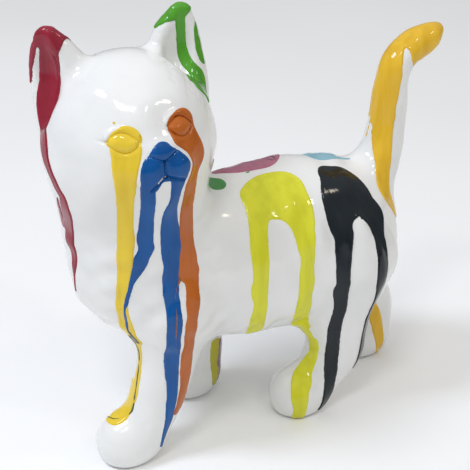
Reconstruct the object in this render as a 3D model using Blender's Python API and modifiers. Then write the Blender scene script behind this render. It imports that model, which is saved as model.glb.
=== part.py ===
"""Glazed ceramic cat, walking, tail up, head turned over its left side: one hollow casting, modelled solid.

Sizes are in millimetres while the form is worked out and are turned into metres when the mesh is written.
The cat walks towards -Y, its left side is +X and it stands on Z = 0 when it is written.
The form is a sum of rounded limbs and eggs whose joins are blended. Primitives along the same limbs are
remeshed into one skin, and the skin is then drawn onto the blended form.
"""
import bmesh
import bpy
import numpy as np
from mathutils import Vector

MM = 0.001
COLLECTION = "ceramic_cat"
NODE = "cat"

# Trunk: place along Y, height and radius of each section
TRUNK = (
    (-74, 123.6, 40),
    (-45, 114.7, 46.2),
    (0, 113.2, 52.2),
    (34, 112.5, 51.5),
    (54, 111.7, 41),
)
TRUNK_FLATNESS = 0.82
NECK = (
    (-73.5, 129, 39.3),
    (-79, 160, 40.8),
    (-80, 190.8, 41.2),
)

# Legs: heights of hip, knee, ankle and foot, each leg's places (X, Y) there, and the height of the sole's cut
LEG_HEIGHTS = (102, 71, 43.4, 18.6)
FRONT_LEG_RADII = (25.2, 17.8, 15.9, 14.5)
HIND_LEG_RADII = (29.7, 21.4, 17.8, 13.9)
LEFT_FRONT = ((20, -68.5), (19, -69), (17, -75.8), (14.5, -85.4))
RIGHT_FRONT = ((-20, -52), (-25, -36), (-28.5, -28), (-32.5, -26.5))
LEFT_HIND = ((20, 49.7), (22, 43), (20.6, 43.6), (18.6, 30))
RIGHT_HIND = ((-20, 54), (-22, 74.3), (-23.8, 96.8), (-21.7, 101.3))
PAW_RADII = (17, 18.4, 18)
PAW_HEIGHT = 15.2
SOLE = 3.3

# Tail: place along Y, height and radius, from the root to the tip
TAIL = (
    (70, 132, 18),
    (85.3, 158, 13.4),
    (89, 176, 11.5),
    (90.4, 199.2, 9.9),
    (94.2, 212.4, 9.9),
    (103, 221, 9.1),
    (114.6, 226.5, 7.5),
    (120.5, 229.3, 4.8),
)

# Head: its centre, how it is turned, and its features as (sideways, forward, up) from the centre
HEAD_CENTRE = (0, -78.1, 202.7)
HEAD_YAW = 84
HEAD_PITCH = 11
HEAD_ROLL = 4
SKULL_RADII = (41.9, 42, 36.7)
SKULL_AT = (-1.3, -2, 4)
RIGHT_CHEEK_AT = (-19.8, 12, -11.6)
RIGHT_CHEEK_RADII = (26, 26, 23)
LEFT_CHEEK_AT = (9.6, 12, -9)
LEFT_CHEEK_RADII = (22.6, 25, 23)
MUZZLE_RADII = (15, 12.5, 13)
MUZZLE_AT = (0, 33, -13)
PAD_RADII = (8, 7.6, 8)
PAD_SPREAD = 6.6
NOSE_RADII = (6.6, 5.6, 5)
NOSE_AT = (0.8, 43.6, -5.4)
CHIN_RADII = (9, 8, 7)
CHIN_AT = (0.5, 35, -27)
MOUTH_TOP = (1, -18.8)
MOUTH_RIGHT = ((-3.2, -21.3), (-7.2, -24.3))
MOUTH_LEFT = ((5.2, -20.3), (10.4, -22.4))
CREASE_DEPTH = 1.7
CREASE_WIDTH = 0.95

# Eyes: almond bulges in shallow sockets, each with its place, half length and tilt
EYE_HALF_HEIGHT = 4.9
EYE_BULGE = 2.8
SOCKET_DEPTH = 1.3
SOCKET_WIDTH = 13
LID_HEIGHT = 1.2
RIGHT_EYE = (-16.7, 1.4, 7.7, 0.13)
LEFT_EYE = (13.8, 3.8, 7.2, -0.1)

# Ears: sections from root to tip, and the hollow in their front
EAR_FLATNESS = 0.6
EAR_SECTIONS = ((29, -4.6, 16.6, 18.6), (32.2, -3.2, 38, 14.8), (35.8, 1.3, 53.4, 6.8))
EAR_HOLLOW_RADII = (9, 10, 5)
EAR_HOLLOW_OUT = (13.5, 10.5, 6.5)
RIGHT_EAR_OPENS = 30
RIGHT_EAR_SHIFT = (8, 5.5, 3.5)
LEFT_EAR_OPENS = 5
LEFT_EAR_SHIFT = (-2, -2.5, 0)

# How far neighbouring forms melt into each other
TRUNK_BLEND = 16
LEG_BLEND = 14
PAW_BLEND = 8
TAIL_BLEND = 12
HEAD_BLEND = 22
EAR_BLEND = 7
SOLE_ROUNDING = 3

# Mesh
BLOCK_VOXEL = 4.0
SKIN_VOXEL = 2.2
TRIANGLES = 9400
NEAR = 25.0


def blend_min(a, b, reach):
    """The smaller of two distances, melted together where they differ by less than reach."""
    overlap = np.maximum(reach - np.abs(a - b), 0.0) / reach
    return np.minimum(a, b) - overlap * overlap * reach * 0.25


def blend_max(a, b, reach):
    return -blend_min(-a, -b, reach)


def bell(distance, width):
    return np.exp(-((distance / width) ** 2))


def in_box(points, low, high):
    """Marks the points near a box, and gives a safe distance for the rest."""
    gap = np.maximum(np.maximum(low - points, points - high), 0.0)
    away = np.sqrt(np.einsum("ij,ij->i", gap, gap))
    return away < NEAR, np.maximum(away, NEAR)


def smooth_sections(joints, steps=5):
    """Catmull-Rom curve through rows of x, y, z and radius."""
    rows = np.array(joints, float)
    rows = np.vstack([2 * rows[0] - rows[1], rows, 2 * rows[-1] - rows[-2]])
    found = []
    for i in range(1, len(rows) - 2):
        a, b, c, d = rows[i - 1 : i + 3]
        for j in range(steps):
            t = j / steps
            cubic = (3 * b - a - 3 * c + d) * t**3
            square = (2 * a - 5 * b + 4 * c - d) * t**2
            found.append(0.5 * (2 * b + (c - a) * t + square + cubic))
    found.append(rows[-2])
    return np.array(found)


def limb(points, joints, flatness=1.0, across=(1, 0, 0)):
    """Distance to a tapering limb. Its section is squeezed along the direction across."""
    rows = smooth_sections(joints)
    across = np.array(across, float)
    widest = rows[:, 3].max()
    close, distance = in_box(points, rows[:, :3].min(0) - widest, rows[:, :3].max(0) + widest)
    near = points[close]
    best = np.full(len(near), 1e3)
    for start, end in zip(rows[:-1], rows[1:]):
        axis = end[:3] - start[:3]
        length = np.sqrt(axis @ axis)
        axis = axis / length
        taper = (end[3] - start[3]) / length
        lean = taper / np.sqrt(max(1 - taper * taper, 0.05))
        offset = near - start[:3]
        along = offset @ axis
        aside = offset - along[:, None] * axis
        square = np.einsum("ij,ij->i", aside, aside)
        if flatness != 1.0:
            part = aside @ across
            square = np.maximum(square - part**2 + (part / flatness) ** 2, 0.0)
        at = np.clip(along + np.sqrt(square) * lean, 0.0, length)
        best = np.minimum(best, np.sqrt(square + (along - at) ** 2) - start[3] - at * taper)
    distance[close] = best
    return distance


def egg(points, centre, radii, axes=None):
    """Distance to an ellipsoid, nearly true close to its surface."""
    centre = np.array(centre, float)
    radii = np.array(radii, float)
    close, distance = in_box(points, centre - radii.max(), centre + radii.max())
    offset = points[close] - centre
    if axes is not None:
        offset = offset @ axes
    scaled = offset / radii
    one = np.sqrt(np.einsum("ij,ij->i", scaled, scaled))
    two = np.sqrt(np.einsum("ij,ij->i", scaled / radii, scaled / radii))
    distance[close] = one * (one - 1.0) / np.maximum(two, 1e-9)
    return distance


def head_axes():
    """Columns: the head's left, forward and up."""
    yaw, pitch, roll = np.radians([HEAD_YAW, HEAD_PITCH, HEAD_ROLL])
    forward = np.array([np.sin(yaw) * np.cos(pitch), -np.cos(yaw) * np.cos(pitch), np.sin(pitch)])
    left = np.array([np.cos(yaw), np.sin(yaw), 0.0])
    up = np.cross(left, -forward)
    tilted_left = left * np.cos(roll) + up * np.sin(roll)
    tilted_up = up * np.cos(roll) - left * np.sin(roll)
    return np.stack([tilted_left, forward, tilted_up], 1)


HEAD = head_axes()


def on_head(place):
    return np.array(HEAD_CENTRE) + HEAD @ np.array(place, float)


def head_limb(points, joints, **section):
    return limb(points, [(*on_head(j[:3]), j[3]) for j in joints], **section)


def line_gap(x, z, line):
    """Distance in the face's plane to a line through points."""
    best = np.full(len(x), 1e3)
    for (ax, az), (bx, bz) in zip(line[:-1], line[1:]):
        dx, dz = bx - ax, bz - az
        t = np.clip(((x - ax) * dx + (z - az) * dz) / (dx * dx + dz * dz), 0.0, 1.0)
        best = np.minimum(best, np.hypot(x - ax - t * dx, z - az - t * dz))
    return best


def eye_relief(x, z, eye, side):
    """How far an eye lowers (+) or raises (-) the face."""
    at_x, at_z, half_length, tilt = eye
    along = (x - at_x) * side
    up = z - at_z - tilt * along
    arc = EYE_HALF_HEIGHT * (1 - (along / half_length) ** 2)
    slope = 2 * EYE_HALF_HEIGHT * along / half_length**2
    edge = (np.abs(up) - arc) / np.sqrt(1 + slope**2)
    inside = np.clip(-edge / EYE_HALF_HEIGHT, 0, 1)
    upper = np.where(up > 0, 1.0, 0.35) * (np.abs(along) < half_length + 0.7)
    relief = SOCKET_DEPTH * bell(np.hypot(along, up * 1.3), SOCKET_WIDTH)
    relief -= EYE_BULGE * (1 - (1 - inside) ** 2)
    relief += 1.2 * bell(edge, 0.7)
    relief -= LID_HEIGHT * bell(edge - 1.9, 1.3) * upper
    return relief


def mouth_relief(x, z):
    nose_low = (NOSE_AT[0], NOSE_AT[2] - NOSE_RADII[2])
    mouth = [[nose_low, MOUTH_TOP], [MOUTH_TOP, *MOUTH_RIGHT], [MOUTH_TOP, *MOUTH_LEFT]]
    relief = sum(CREASE_DEPTH * bell(line_gap(x, z, line), CREASE_WIDTH) for line in mouth)
    nostrils = [(side * 6.4 + NOSE_AT[0], NOSE_AT[2] - 1.5) for side in (-1, 1)]
    under_nose = [nostrils[0], nose_low, nostrils[1]]
    return relief + 1.1 * bell(line_gap(x, z, under_nose), 0.8)


def face(points, head):
    """Adds the muzzle, nose, mouth and eyes to the skull."""
    bridge = [(0, 33, 12, 6), (0, 37, 4, 6), (0.5, 41, -4, 5.5)]
    head = blend_min(head, head_limb(points, bridge), 9)
    head = blend_min(head, egg(points, on_head(MUZZLE_AT), MUZZLE_RADII, HEAD), 8)
    for side in (-1, 1):
        pad = on_head((side * PAD_SPREAD + NOSE_AT[0], 40.5, -15))
        head = blend_min(head, egg(points, pad, PAD_RADII, HEAD), 2.5)
    head = blend_min(head, egg(points, on_head(NOSE_AT), NOSE_RADII, HEAD), 1.8)
    head = blend_min(head, egg(points, on_head(CHIN_AT), CHIN_RADII, HEAD), 7)
    local = (points - HEAD_CENTRE) @ HEAD
    front = np.clip((local[:, 1] - 18) / 8, 0, 1) * (np.abs(local[:, 0]) < 40) * (np.abs(local[:, 2]) < 50)
    rows = np.where(front > 0)[0]
    x, z = local[rows, 0], local[rows, 2]
    relief = eye_relief(x, z, RIGHT_EYE, -1) + eye_relief(x, z, LEFT_EYE, 1) + mouth_relief(x, z)
    head[rows] += relief * front[rows]
    return head


def ear(points, side, opens, shift):
    """An ear's solid cone and the hollow scooped out of its front."""
    angle = np.radians(opens)
    out = np.array([side * np.sin(angle), np.cos(angle), 0.0])
    aside = np.array([side * np.cos(angle), -np.sin(angle), 0.0])
    solid = [(side * x, y, z, r) for x, y, z, r in EAR_SECTIONS]
    hollow = []
    for row, across, lift, radius in zip(solid, shift, EAR_HOLLOW_OUT, EAR_HOLLOW_RADII):
        centre = np.array(row[:3]) + aside * across + out * lift - np.array([0, 0, 3])
        hollow.append((*centre, radius))
    facing = HEAD @ out
    return (
        head_limb(points, solid, flatness=EAR_FLATNESS, across=facing),
        head_limb(points, hollow, flatness=0.85, across=facing),
    )


def leg_joints(places, radii):
    return [(x, y, z, r) for (x, y), z, r in zip(places, LEG_HEIGHTS, radii)]


LEGS = (
    (leg_joints(LEFT_FRONT, FRONT_LEG_RADII), -10),
    (leg_joints(RIGHT_FRONT, FRONT_LEG_RADII), -7),
    (leg_joints(LEFT_HIND, HIND_LEG_RADII), -11),
    (leg_joints(RIGHT_HIND, HIND_LEG_RADII), -10),
)


def body(points):
    trunk = [(0, *row) for row in TRUNK]
    neck = [(0, *row) for row in NECK]
    tail = [(0, *row) for row in TAIL]
    form = blend_min(limb(points, trunk, flatness=TRUNK_FLATNESS), limb(points, neck), TRUNK_BLEND)
    for joints, reach in LEGS:
        x, y = joints[-1][:2]
        form = blend_min(form, limb(points, joints), LEG_BLEND)
        form = blend_min(form, egg(points, (x, y + reach, PAW_HEIGHT), PAW_RADII), PAW_BLEND)
    return blend_min(form, limb(points, tail), TAIL_BLEND)


def cat_form(points):
    """Distance to the cat's surface, negative inside."""
    head = egg(points, on_head(SKULL_AT), SKULL_RADII, HEAD)
    right_cheek = egg(points, on_head(RIGHT_CHEEK_AT), RIGHT_CHEEK_RADII, HEAD)
    left_cheek = egg(points, on_head(LEFT_CHEEK_AT), LEFT_CHEEK_RADII, HEAD)
    head = face(points, blend_min(head, blend_min(right_cheek, left_cheek, 10), 14))
    for side, opens, shift in ((-1, RIGHT_EAR_OPENS, RIGHT_EAR_SHIFT), (1, LEFT_EAR_OPENS, LEFT_EAR_SHIFT)):
        solid, hollow = ear(points, side, opens, shift)
        head = blend_min(head, solid, EAR_BLEND)
        head = blend_max(head, -hollow, 4)
    form = blend_min(body(points), head, HEAD_BLEND)
    return blend_max(form, SOLE - points[:, 2], SOLE_ROUNDING)


def settle(points, rounds, step=0.05, most=3.0):
    """Moves points along the form's slope until they lie on its surface."""
    for _ in range(rounds):
        value = cat_form(points)
        slope = np.empty_like(points)
        for axis in range(3):
            nudged = points.copy()
            nudged[:, axis] += step
            slope[:, axis] = (cat_form(nudged) - value) / step
        steep = np.maximum(np.einsum("ij,ij->i", slope, slope), 0.2)
        move = slope * (value / steep)[:, None]
        size = np.linalg.norm(move, axis=1, keepdims=True)
        points = points - move * np.minimum(1.0, most / np.maximum(size, 1e-9))
    return points


def block_out():
    """Balls along every limb, joined in one mesh."""
    head = [(*on_head(SKULL_AT), 38), (*on_head(RIGHT_CHEEK_AT), 23), (*on_head(LEFT_CHEEK_AT), 22)]
    head += [(*on_head(MUZZLE_AT), 14), (*on_head(NOSE_AT), 6)]
    rows = [smooth_sections([(0, *row) for row in part]) for part in (TRUNK, NECK, TAIL)]
    for joints, reach in LEGS:
        x, y = joints[-1][:2]
        rows.append(smooth_sections(joints))
        rows.append(np.array([(x, y + reach * t, PAW_HEIGHT, 14) for t in (0, 0.5, 1.0, 1.3)]))
    for side in (-1, 1):
        ear_rows = smooth_sections([(side * x, y, z, r * 0.72) for x, y, z, r in EAR_SECTIONS])
        rows.append(np.array([(*on_head(row[:3]), row[3]) for row in ear_rows]))
    rows.append(np.array(head))
    mesh = bmesh.new()
    for row in np.vstack(rows):
        ball = bmesh.ops.create_icosphere(mesh, subdivisions=3, radius=float(row[3]))
        bmesh.ops.translate(mesh, verts=ball["verts"], vec=Vector(row[:3]))
    return mesh


def remeshed(obj, voxel):
    """The object's mesh after a voxel remesh, as corner points and faces in the object."""
    modifier = obj.modifiers.new("skin", "REMESH")
    modifier.mode = "VOXEL"
    modifier.voxel_size = voxel
    graph = bpy.context.evaluated_depsgraph_get()
    made = bpy.data.meshes.new_from_object(obj.evaluated_get(graph))
    obj.modifiers.clear()
    obj.data = made
    points = np.empty(len(made.vertices) * 3)
    made.vertices.foreach_get("co", points)
    return points.reshape(-1, 3)


def put_points(obj, points):
    obj.data.vertices.foreach_set("co", points.ravel())
    obj.data.update()


def thinned(obj, triangles):
    """Decimates the skin to about this many triangles."""
    obj.data.calc_loop_triangles()
    modifier = obj.modifiers.new("thin", "DECIMATE")
    modifier.ratio = triangles / len(obj.data.loop_triangles)
    modifier.use_collapse_triangulate = True
    graph = bpy.context.evaluated_depsgraph_get()
    made = bpy.data.meshes.new_from_object(obj.evaluated_get(graph))
    obj.modifiers.clear()
    obj.data = made


def centre_and_scale(obj):
    """Puts the middle of the cat's box over the origin with the soles on the floor, in metres."""
    points = np.empty(len(obj.data.vertices) * 3)
    obj.data.vertices.foreach_get("co", points)
    points = points.reshape(-1, 3)
    points[points[:, 2] < SOLE + 0.25, 2] = SOLE
    middle = (points.min(0) + points.max(0)) / 2
    put_points(obj, (points - [middle[0], middle[1], SOLE]) * MM)


def glaze():
    material = bpy.data.materials.new("white_glaze")
    material.use_nodes = True
    shader = material.node_tree.nodes["Principled BSDF"]
    shader.inputs["Base Color"].default_value = (0.88, 0.89, 0.89, 1.0)
    shader.inputs["Roughness"].default_value = 0.12
    shader.inputs["Metallic"].default_value = 0.0
    return material


def main():
    for old in list(bpy.data.objects):
        bpy.data.objects.remove(old, do_unlink=True)
    collection = bpy.data.collections.new(COLLECTION)
    bpy.context.scene.collection.children.link(collection)
    data = bpy.data.meshes.new(NODE)
    form = block_out()
    form.to_mesh(data)
    form.free()
    cat = bpy.data.objects.new(NODE, data)
    collection.objects.link(cat)
    put_points(cat, settle(remeshed(cat, BLOCK_VOXEL), 5))
    put_points(cat, settle(remeshed(cat, SKIN_VOXEL), 4))
    thinned(cat, TRIANGLES)
    centre_and_scale(cat)
    cat.data.name = NODE
    cat.data.materials.append(glaze())
    cat.data.shade_smooth()


main()
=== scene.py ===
"""Glazed ceramic cat, walking, with thick drips of coloured enamel run over the white glaze.

The form is worked out in millimetres, as in the frame, and drawn again at a fine grain. Each colour is a thin
closed shell of its own, cut out of that fine skin, so that the drips stand proud with rounded edges.
"""

import bmesh
import bpy
import numpy as np
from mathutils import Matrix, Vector


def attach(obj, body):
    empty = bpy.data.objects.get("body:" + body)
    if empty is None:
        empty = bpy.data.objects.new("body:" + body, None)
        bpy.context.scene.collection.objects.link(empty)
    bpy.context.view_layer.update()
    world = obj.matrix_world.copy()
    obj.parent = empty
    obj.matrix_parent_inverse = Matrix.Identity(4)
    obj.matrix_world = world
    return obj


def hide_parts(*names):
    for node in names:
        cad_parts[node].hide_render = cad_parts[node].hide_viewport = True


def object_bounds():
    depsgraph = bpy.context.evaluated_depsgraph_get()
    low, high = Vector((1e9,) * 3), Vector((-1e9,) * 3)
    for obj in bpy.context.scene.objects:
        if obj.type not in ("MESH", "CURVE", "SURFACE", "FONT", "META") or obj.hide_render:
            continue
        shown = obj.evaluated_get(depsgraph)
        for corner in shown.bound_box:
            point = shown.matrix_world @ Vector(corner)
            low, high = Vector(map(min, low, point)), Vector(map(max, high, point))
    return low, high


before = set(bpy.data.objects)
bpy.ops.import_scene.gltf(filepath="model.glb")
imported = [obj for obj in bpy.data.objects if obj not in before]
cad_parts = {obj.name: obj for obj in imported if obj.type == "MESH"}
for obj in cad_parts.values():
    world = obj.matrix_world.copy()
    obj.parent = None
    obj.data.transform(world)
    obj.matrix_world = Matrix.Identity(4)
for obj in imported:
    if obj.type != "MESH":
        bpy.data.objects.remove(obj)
cad_low, cad_high = [np.array(corner, float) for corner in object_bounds()]

# Trunk: place along Y, height and radius of each section
TRUNK = (
    (-74, 123.6, 40),
    (-45, 114.7, 46.2),
    (0, 113.2, 52.2),
    (34, 112.5, 51.5),
    (54, 111.7, 41),
)
TRUNK_FLATNESS = 0.82
NECK = (
    (-73.5, 129, 39.3),
    (-79, 160, 40.8),
    (-80, 190.8, 41.2),
)

# Legs: heights of hip, knee, ankle and foot, each leg's places (X, Y) there, how far each paw reaches along Y
# past its foot, and the height of the sole's cut
LEG_HEIGHTS = (102, 71, 43.4, 18.6)
FRONT_LEG_RADII = (25.2, 17.8, 15.9, 14.5)
HIND_LEG_RADII = (29.7, 21.4, 17.8, 13.9)
LEFT_FRONT = ((20, -68.5), (19, -69), (17, -75.8), (14.5, -85.4))
RIGHT_FRONT = ((-20, -52), (-25, -36), (-28.5, -28), (-32.5, -26.5))
LEFT_HIND = ((20, 49.7), (22, 43), (20.6, 43.6), (18.6, 30))
RIGHT_HIND = ((-20, 54), (-22, 74.3), (-23.8, 96.8), (-21.7, 101.3))
PAW_REACH = {"left front": -10, "right front": -7, "left hind": -11, "right hind": -10}
PAW_RADII = (17, 18.4, 18)
PAW_HEIGHT = 15.2
SOLE = 3.3

# Tail: place along Y, height and radius, from the root to the tip
TAIL = (
    (70, 132, 18),
    (85.3, 158, 13.4),
    (89, 176, 11.5),
    (90.4, 199.2, 9.9),
    (94.2, 212.4, 9.9),
    (103, 221, 9.1),
    (114.6, 226.5, 7.5),
    (120.5, 229.3, 4.8),
)

# Head: its centre, how it is turned, and its features as (sideways, forward, up) from the centre
HEAD_CENTRE = (0, -78.1, 202.7)
HEAD_YAW = 84
HEAD_PITCH = 11
HEAD_ROLL = 4
SKULL_RADII = (41.9, 42, 36.7)
SKULL_AT = (-1.3, -2, 4)
RIGHT_CHEEK_AT = (-19.8, 12, -11.6)
RIGHT_CHEEK_RADII = (26, 26, 23)
LEFT_CHEEK_AT = (9.6, 12, -9)
LEFT_CHEEK_RADII = (22.6, 25, 23)
BRIDGE = ((0, 33, 12, 6), (0, 37, 4, 6), (0.5, 41, -4, 5.5))
MUZZLE_RADII = (15, 12.5, 13)
MUZZLE_AT = (0, 33, -13)
PAD_RADII = (8, 7.6, 8)
PAD_SPREAD = 6.6
PAD_FORWARD = 40.5
PAD_UP = -15
NOSE_RADII = (6.6, 5.6, 5)
NOSE_AT = (0.8, 43.6, -5.4)
NOSTRIL_SPREAD = 6.4
NOSTRIL_DROP = 1.5
UNDER_NOSE_DEPTH = 1.1
UNDER_NOSE_WIDTH = 0.8
CHIN_RADII = (9, 8, 7)
CHIN_AT = (0.5, 35, -27)
MOUTH_TOP = (1, -18.8)
MOUTH_RIGHT = ((-3.2, -21.3), (-7.2, -24.3))
MOUTH_LEFT = ((5.2, -20.3), (10.4, -22.4))
CREASE_DEPTH = 1.7
CREASE_WIDTH = 0.95

# Eyes: almond bulges in shallow sockets, each with its place, half length and tilt
EYE_HALF_HEIGHT = 4.9
EYE_BULGE = 2.8
SOCKET_DEPTH = 1.3
SOCKET_WIDTH = 13
SOCKET_FLATNESS = 1.3
LID_HEIGHT = 1.2
LID_WIDTH = 1.3
LID_GAP = 1.9
LID_OVERHANG = 0.7
LOWER_LID = 0.35
EYE_LINE_DEPTH = 1.2
EYE_LINE_WIDTH = 0.7
RIGHT_EYE = (-16.7, 1.4, 7.7, 0.13)
LEFT_EYE = (13.8, 3.8, 7.2, -0.1)

# Relief of eyes and mouth: how far forward on the head it starts, the depth that it fades in over, and how
# far it may reach sideways and up
RELIEF_FROM = 18
RELIEF_FADE = 8
RELIEF_HALF_WIDTH = 40
RELIEF_HALF_HEIGHT = 50

# Ears: sections from root to tip, and the hollow in their front
EAR_FLATNESS = 0.6
EAR_SECTIONS = ((29, -4.6, 16.6, 18.6), (32.2, -3.2, 38, 14.8), (35.8, 1.3, 53.4, 6.8))
EAR_HOLLOW_RADII = (9, 10, 5)
EAR_HOLLOW_OUT = (13.5, 10.5, 6.5)
EAR_HOLLOW_DROP = 3
EAR_HOLLOW_FLATNESS = 0.85
RIGHT_EAR_OPENS = 30
RIGHT_EAR_SHIFT = (8, 5.5, 3.5)
LEFT_EAR_OPENS = 5
LEFT_EAR_SHIFT = (-2, -2.5, 0)

# How far neighbouring forms melt into each other
TRUNK_BLEND = 16
LEG_BLEND = 14
PAW_BLEND = 8
TAIL_BLEND = 12
HEAD_BLEND = 22
EAR_BLEND = 7
EAR_HOLLOW_BLEND = 4
CHEEK_BLEND = 14
CHEEKS_BLEND = 10
BRIDGE_BLEND = 9
MUZZLE_BLEND = 8
PAD_BLEND = 2.5
NOSE_BLEND = 1.8
CHIN_BLEND = 7
SOLE_ROUNDING = 3

# Block-out: balls along every limb, their places along a paw's reach, and the grain they are joined at
BLOCK_HEAD = ((SKULL_AT, 38), (RIGHT_CHEEK_AT, 23), (LEFT_CHEEK_AT, 22), (MUZZLE_AT, 14), (NOSE_AT, 6))
BLOCK_PAW = 14
BLOCK_PAW_PLACES = (0, 0.5, 1.0, 1.3)
BLOCK_EAR = 0.72
BLOCK_VOXEL = 4.0

# Skin: its grain, the finer grain of the face's features and of the borders of drips, how far round a form
# its distance is worked out, a distance beyond all others, the least squared slope that is divided by, and
# how near the sole a point is laid flat
SKIN_VOXEL = 1.5
FINE_GRAIN = 1.0
FEATURES_BOX = ((-27, 24, -30), (27, 100, 12))
NEAR = 25.0
FAR = 1e3
LEAST_SLOPE = 0.2
SOLE_SNAP = 0.25

# Hand-shaped surface: soft dents all over, fainter on ears and legs by the spared share, more on the chest,
# and upright folds on the flanks
DENT_SIZE = 15.0
DENT_DEPTH = 0.34
CHEST_DENT_SIZE = 8.5
CHEST_DENT_DEPTH = 0.42
FOLD_SIZE = 7.0
FOLD_STRETCH = 4.0
FOLD_DEPTH = 0.42
DENT_SPARED = 0.7

# Random relief: the least and most length of its waves for its size, and the seed of each kind
WAVE_LENGTHS = (1.2, 2.6)
SEEDS = {"dents": 3, "chest": 8, "folds": 5, "wander": 21, "fine wander": 22}

# Where each kind of relief fades in: the place along an axis with none of it, then with all of it
CHEST_TOP = (165, 140)
CHEST_FOOT = (75, 95)
CHEST_BACK = (-25, -60)
FLANK_TOP = (150, 135)
FLANK_FOOT = (40, 70)
FLANK_FRONT = (-45, -20)
FLANK_SIDE = (14, 30)
LEGS_TOP = (90, 60)
EARS_FOOT = (228, 238)
ABOVE_SOLE = (SOLE + 1, SOLE + 9)

# Drips: how far their edge is rounded, their rim's height, place and width, how deep they reach, how runs
# melt together, the least share of a distance along the skin that a side is taken to see, how much skin round
# the outline is made finer and kept, how the outline wanders, and how far above the sole it ends
DRIP_EDGE = 1.0
DRIP_RIM = 0.12
RIM_AT = 1.1 * DRIP_EDGE
RIM_WIDTH = 0.7
DRIP_SUNK = 0.4
DRIP_BACK = 0.7
DRIP_BLEND = 1.5
LEAST_SEEN = 0.25
NEAR_EDGE = 1.2
ROUND_EDGE = 2.2
WANDER = 0.12
WANDER_SIZE = 9.0
FINE_WANDER = 0.042
FINE_WANDER_SIZE = 2.6
SOLE_CLEARANCE = 0.9

# Sides that drips are laid out from: azimuth, elevation, then the least and most depth towards that side
FACE = (90, 0, 20, 200)
FLANK = (90, 0, 0, 200)
OUTER_LEG = (90, 0, 20, 200)
HAUNCH = (90, 45, -200, 200)
BACK = (90, 60, -200, 200)
SHIN = (62, 0, 30, 200)
INSTEP = (62, 45, 30, 200)
HIND_SHIN = (62, 0, -8, 60)
HIND_INSTEP = (62, 45, -8, 60)
INNER_SHIN = (62, 0, -20, 20)
FAR_SHIN = (70, 0, -60, 5)
RIGHT_EAR = (40, 0, 60, 200)
RIGHT_CHEEK = (20, 0, 80, 200)
LEFT_EAR = (75, 0, -20, 200)
EAR_TIP = (62, 0, -10, 200)
EAR_BACK = (110, 0, -60, 40)
TAIL_SIDE = (90, 0, -30, 60)
TAIL_ROOT = (90, 0, -2, 60)
FAR_FLANK = (-90, 0, 2, 200)

# Grooves cut by a tool: the side, the depth, then places as across, up and half width
GROOVES = (
    (FACE, 0.8, ((-105.8, 211.3, 1.2), (-108.2, 211.8, 1.1), (-111, 212.1, 0.8))),
    (FLANK, 0.35, ((-62.3, 239.1, 0.9), (-65.6, 234.3, 0.9))),
    (FLANK, 0.3, ((-60.6, 238.7, 0.8), (-64, 233.2, 0.8))),
    (FLANK, 0.35, ((-53.8, 233.6, 0.8), (-58.6, 226.2, 0.8))),
    (FLANK, 0.3, ((-52.8, 231.9, 0.7), (-55.9, 225.3, 0.7))),
    (FLANK, 0.3, ((-51, 229.6, 0.7), (-53.6, 225.5, 0.7))),
    (FLANK, 0.3, ((-51.3, 225.5, 0.8), (-53.4, 219.3, 0.8))),
    (FLANK, 0.3, ((-49.1, 223, 0.8), (-51.6, 218.7, 0.8))),
    (FLANK, 0.3, ((-46.5, 220.2, 0.8), (-48.8, 216.3, 0.8))),
)

# Drips of each colour, and the gaps in them: the side, then places along the run as across, up and half width
YELLOW_RUNS = (
    (FACE, ((-105.9, 210.8, 1), (-101.8, 212, 2.4), (-96.4, 215, 3.8), (-93.6, 213.3, 3.2))),
    (FACE, (
        (-98.3, 211.3, 7.2), (-99.4, 205, 6.6), (-100.5, 198.6, 5.7), (-100.8, 193, 4.9),
        (-100.6, 187, 4.5), (-100.3, 180.7, 4.1), (-99.6, 171.6, 3.9), (-98.8, 162.8, 3.9),
        (-98.6, 156.4, 4.2), (-98.7, 149.8, 4.1), (-98.9, 143, 3.9), (-99.7, 129.8, 3.1),
        (-100.3, 120.4, 2.8), (-100.2, 113.9, 2.6), (-98.7, 105.2, 2.6), (-96.8, 98, 2.4), (-94, 91, 2.2),
        (-91.1, 86.2, 1.9),
    )),
    (SHIN, (
        (-69.9, 87, 2.4), (-68.4, 83.6, 1.7), (-67.7, 79.9, 1.5), (-67.5, 74, 1.4), (-68.3, 65.9, 1.4),
        (-69.3, 58.9, 1.5), (-70.9, 52, 1.9), (-73.7, 46.5, 3),
    )),
    (INSTEP, (
        (-74.6, -7.6, 5), (-78.6, -14.6, 5.6), (-81.6, -19, 5.4), (-84.6, -20.6, 3.4), (-87.5, -20, 1.6),
    )),
    (FACE, ((-101.3, 220.1, 0.8), (-101.2, 220, 0.8))),
)
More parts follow.
